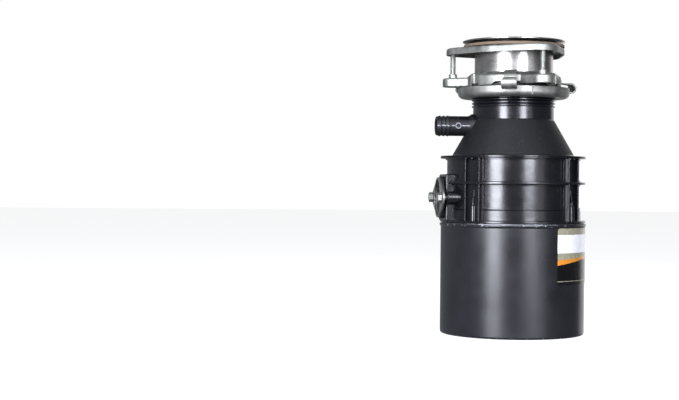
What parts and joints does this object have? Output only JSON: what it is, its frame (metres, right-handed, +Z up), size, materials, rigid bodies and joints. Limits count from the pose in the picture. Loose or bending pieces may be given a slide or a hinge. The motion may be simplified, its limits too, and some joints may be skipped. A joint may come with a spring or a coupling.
{
  "type": "kitchen garbage disposal",
  "caption": "Under-sink food-waste disposer: black motor can and moulded grind housing with side discharge outlet and hose inlet, hung from a zinc-plated lobed sink mount.",
  "frame": {"origin": "on the vertical axis, at the flat underside of the sink flange rim, where the unit hangs on the sink", "axes": "+Z up along the motor axis, out of the sink opening; the discharge outlet and the hose inlet point along -X; the front is -Y"},
  "size_m": [0.1711, 0.1626, 0.326],
  "materials": {
    "charcoal_paint": "semi-gloss baked enamel",
    "black_plastic": "semi-gloss, moulded, glass-filled",
    "zinc_plate": "bright zinc-plated pressed steel",
    "stainless": "brushed stainless steel",
    "rubber": "matt moulded rubber",
    "fibre": "matt pressed fibre",
    "cast_aluminium": "as cast",
    "lamination": "stacked electrical steel",
    "copper": "enamelled copper wire",
    "bronze": "sintered bronze",
    "bright_steel": "ground steel",
    "red_plastic": "semi-gloss",
    "green_paint": "painted",
    "label_film": "printed film"
  },
  "bodies": {
    "unit": {"motor_shell": "charcoal_paint", "terminal_cover": "charcoal_paint", "hopper": "black_plastic", "grind_housing": "black_plastic", "start_switch": "black_plastic", "overload_protector": "black_plastic", "backup_flange": "zinc_plate", "mounting_ring": "zinc_plate", "mounting_screw_1": "zinc_plate", "mounting_screw_2": "zinc_plate", "mounting_screw_3": "zinc_plate", "discharge_flange": "zinc_plate", "discharge_bolt_1": "zinc_plate", "discharge_bolt_2": "zinc_plate", "through_bolt_1": "zinc_plate", "through_bolt_2": "zinc_plate", "through_bolt_3": "zinc_plate", "through_bolt_4": "zinc_plate", "shell_screw_1": "zinc_plate", "shell_screw_2": "zinc_plate", "shell_screw_3": "zinc_plate", "cover_screw": "zinc_plate", "sink_flange": "stainless", "shredder_ring": "stainless", "splash_guard": "rubber", "hopper_seal": "rubber", "chamber_gasket": "rubber", "discharge_gasket": "rubber", "shaft_seal": "rubber", "fibre_gasket": "fibre", "upper_end_frame": "cast_aluminium", "lower_end_frame": "cast_aluminium", "stator_core": "lamination", "stator_winding_lower": "copper", "stator_winding_upper": "copper", "upper_bearing": "bronze", "lower_bearing": "bronze", "snap_ring": "bright_steel", "ground_screw": "green_paint", "rating_label": "label_film"},
    "rotor": {"motor_shaft": "bright_steel", "rotor_core": "lamination", "shredder_plate": "stainless", "shredder_nut": "stainless", "lug_pin_1": "stainless", "lug_pin_2": "stainless", "water_slinger": "rubber", "governor_hub": "black_plastic"},
    "swivel_lug_1": {"swivel_lug_1": "stainless"},
    "swivel_lug_2": {"swivel_lug_2": "stainless"},
    "lock_ring": {"lower_mounting_ring": "zinc_plate"},
    "reset": {"reset_button": "red_plastic"},
    "governor": {"governor_collar": "black_plastic"}
  },
  "joints": [
    {"name": "shredder_spin", "type": "hinge", "parent": "unit", "child": "rotor", "pos_m": [0, 0, -0.1743], "axis": [0, 0, 1], "continuous": true},
    {"name": "lug_1_swing", "type": "hinge", "parent": "rotor", "child": "swivel_lug_1", "pos_m": [0.046, 0, -0.1423], "axis": [0, 0, 1], "continuous": true},
    {"name": "lug_2_swing", "type": "hinge", "parent": "rotor", "child": "swivel_lug_2", "pos_m": [-0.046, 0, -0.1423], "axis": [0, 0, 1], "continuous": true},
    {"name": "governor_slide", "type": "slide", "parent": "rotor", "child": "governor", "axis": [0, 0, 1], "range_m": [0, 0.003]},
    {"name": "lock_ring_turn", "type": "hinge", "parent": "unit", "child": "lock_ring", "pos_m": [0, 0, -0.0563], "axis": [0, 0, 1], "range_deg": [-52, 0]},
    {"name": "reset_button_travel", "type": "slide", "parent": "unit", "child": "reset", "axis": [0, 0, -1], "range_m": [0, 0.0025]}
  ]
}
